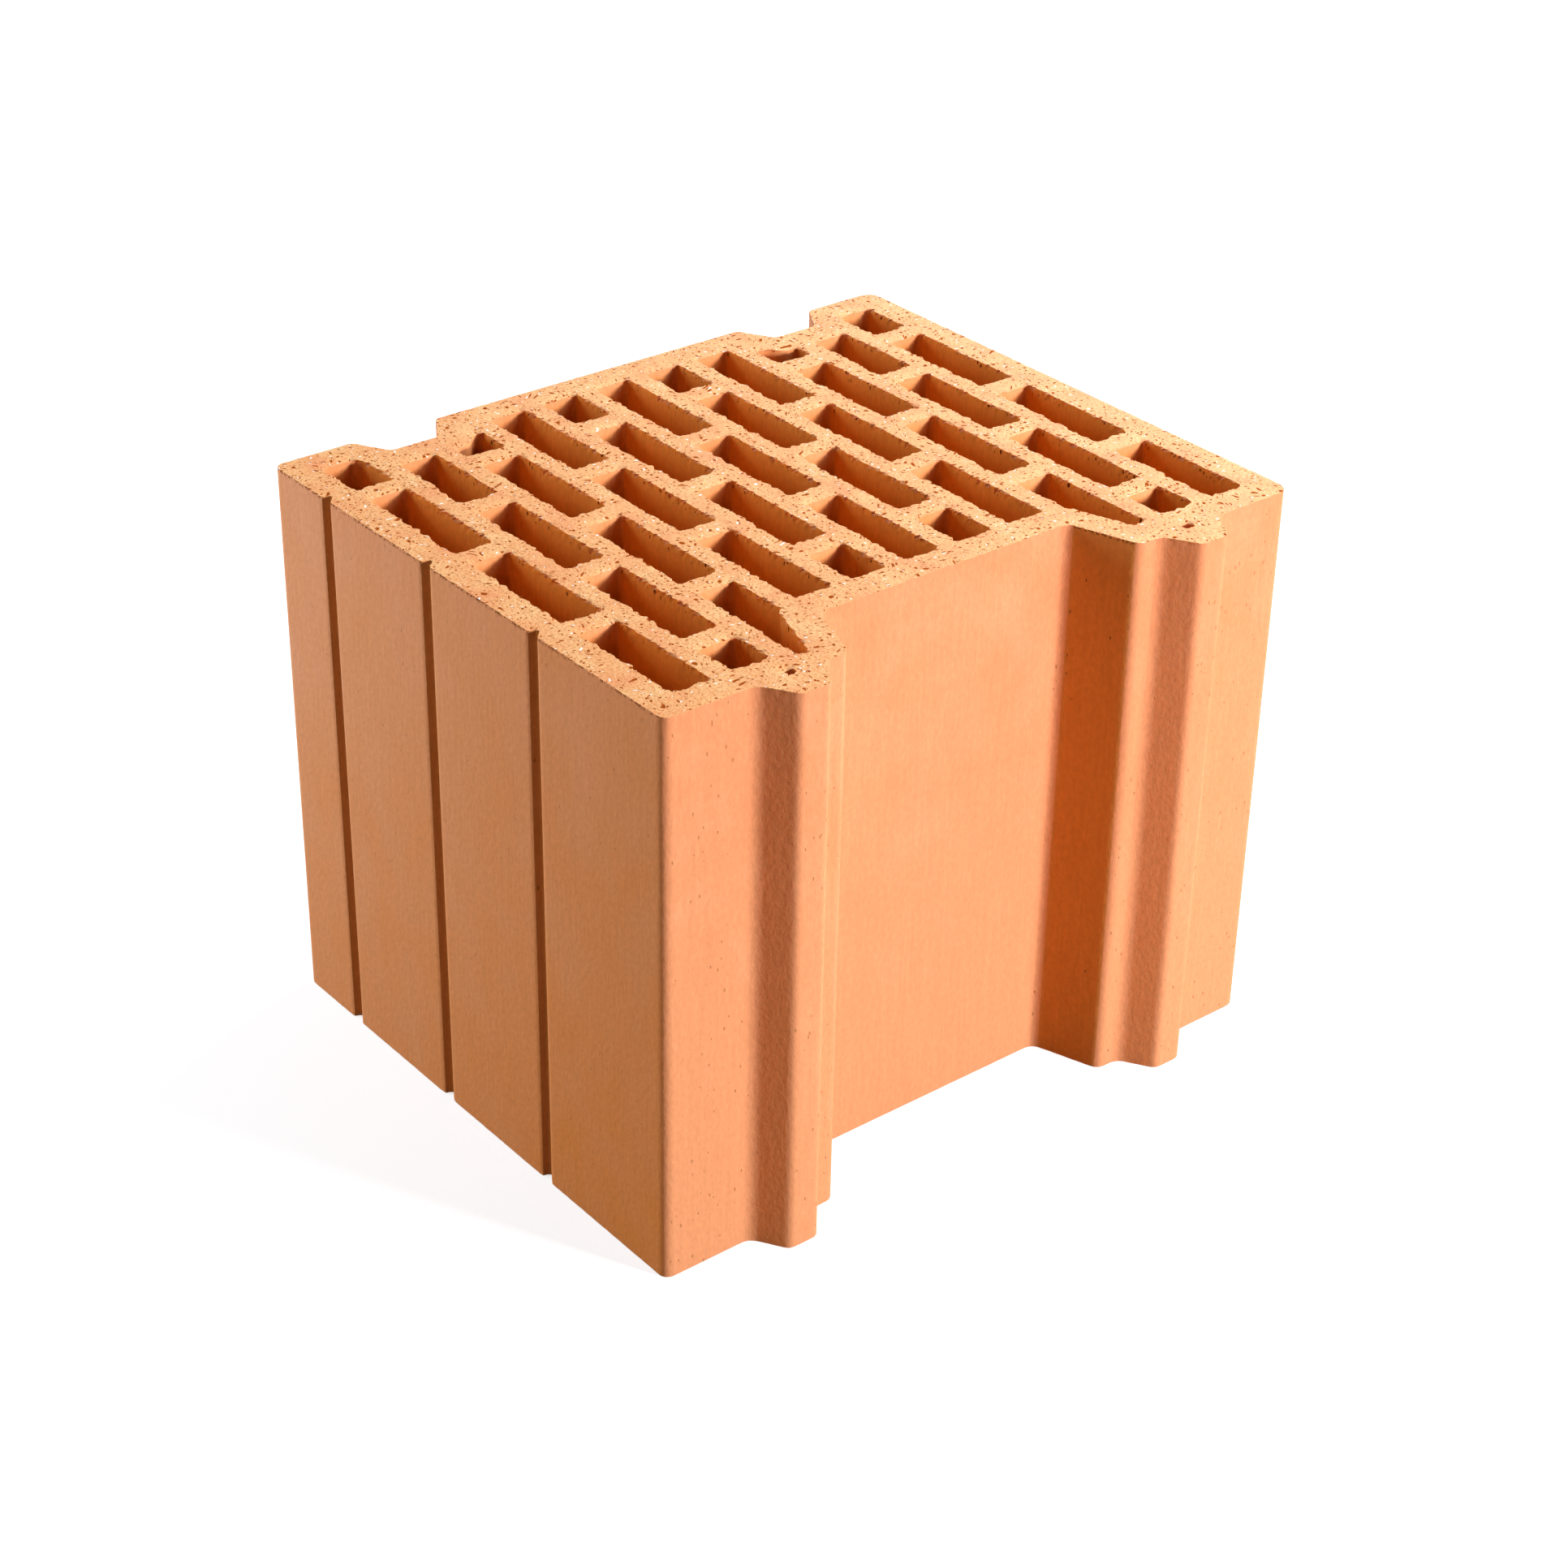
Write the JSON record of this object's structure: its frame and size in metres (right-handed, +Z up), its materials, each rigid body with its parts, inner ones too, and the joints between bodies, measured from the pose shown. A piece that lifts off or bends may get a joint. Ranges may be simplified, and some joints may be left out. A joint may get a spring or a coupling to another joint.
{
  "type": "hollow clay block",
  "caption": "Fired clay wall block with slots through its height, tongues and a deep recess on one head face, grooves on the other and keying grooves on one wall face.",
  "frame": {"origin": "centre of the bounding box's foot, on the bed face that the block stands on", "axes": "+X along the wall towards the tongues, +Y through the wall away from the keyed face, +Z up the courses"},
  "size_m": [0.264, 0.3, 0.238],
  "materials": {
    "fired_clay": "matte"
  },
  "bodies": {
    "root": {"hollow_clay_block": "fired_clay"}
  },
  "joints": []
}
